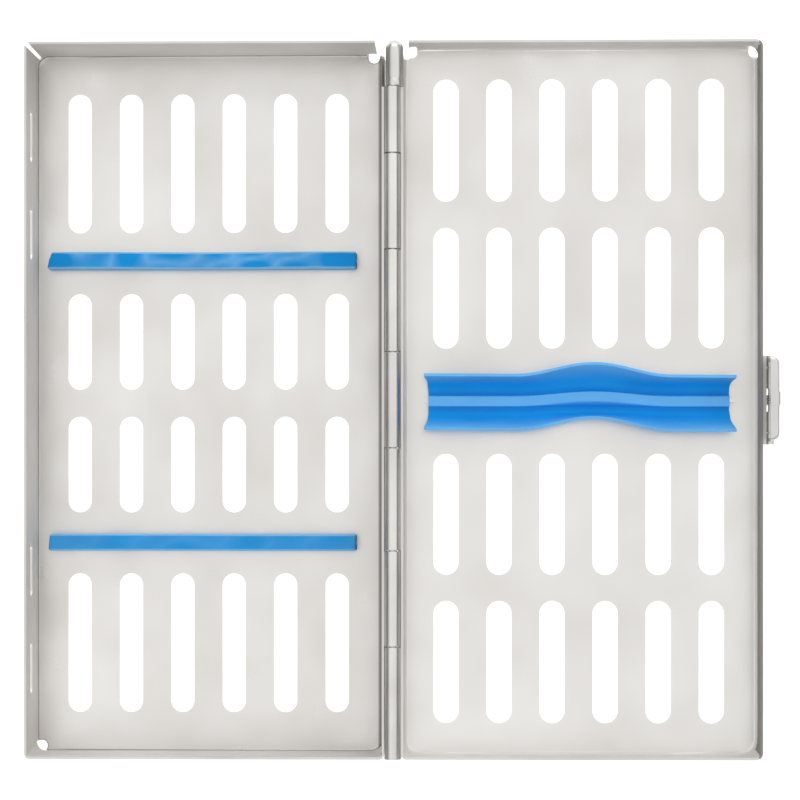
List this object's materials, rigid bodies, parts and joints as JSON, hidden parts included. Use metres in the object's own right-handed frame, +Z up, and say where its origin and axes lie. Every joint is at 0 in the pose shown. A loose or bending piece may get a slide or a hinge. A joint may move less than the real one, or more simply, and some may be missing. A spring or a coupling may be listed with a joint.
{
  "type": "dental instrument sterilization cassette",
  "caption": "Hinged perforated steel case for sterilizing and storing dental hand instruments, with silicone rails, a hold-down cushion and a swing latch, shown open.",
  "frame": {"origin": "centre of the open case's footprint, on the surface it rests on", "axes": "+X from the tray's latch side across the hinge to the lid's latch, +Y along the hinge to the end with the domed hinge cap, +Z up"},
  "size_m": [0.189, 0.18, 0.03],
  "materials": {
    "tray_steel": "electropolished satin sheet",
    "hinge_steel": "bright rolled",
    "latch_steel": "satin pressed",
    "spring_steel": "drawn wire",
    "blue_silicone": "smooth moulded silicone"
  },
  "bodies": {
    "base": {"base_tray": "tray_steel", "base_hinge_leaf": "hinge_steel", "hinge_pin": "hinge_steel", "far_rail_bar": "tray_steel", "near_rail_bar": "tray_steel", "far_rail_sleeve": "blue_silicone", "near_rail_sleeve": "blue_silicone", "catch_plate": "latch_steel"},
    "lid": {"lid_tray": "tray_steel", "lid_hinge_leaf": "hinge_steel", "hinge_end_cap": "hinge_steel", "cushion_bar": "tray_steel", "lid_cushion": "blue_silicone", "latch_bracket": "latch_steel", "latch_pin": "latch_steel", "latch_spring": "spring_steel"},
    "latch": {"latch_plate": "latch_steel"}
  },
  "joints": [
    {"name": "lid_hinge", "type": "hinge", "parent": "base", "child": "lid", "pos_m": [-0.00145, 0, 0.02], "axis": [0, -1, 0], "range_deg": [0, 180]},
    {"name": "latch_pivot", "type": "hinge", "parent": "lid", "child": "latch", "pos_m": [0.09315, 0, 0.0165], "axis": [0, 1, 0], "range_deg": [-3, 75], "stiffness_Nm_per_rad": 0.004, "deforming": ["latch_spring"]}
  ]
}
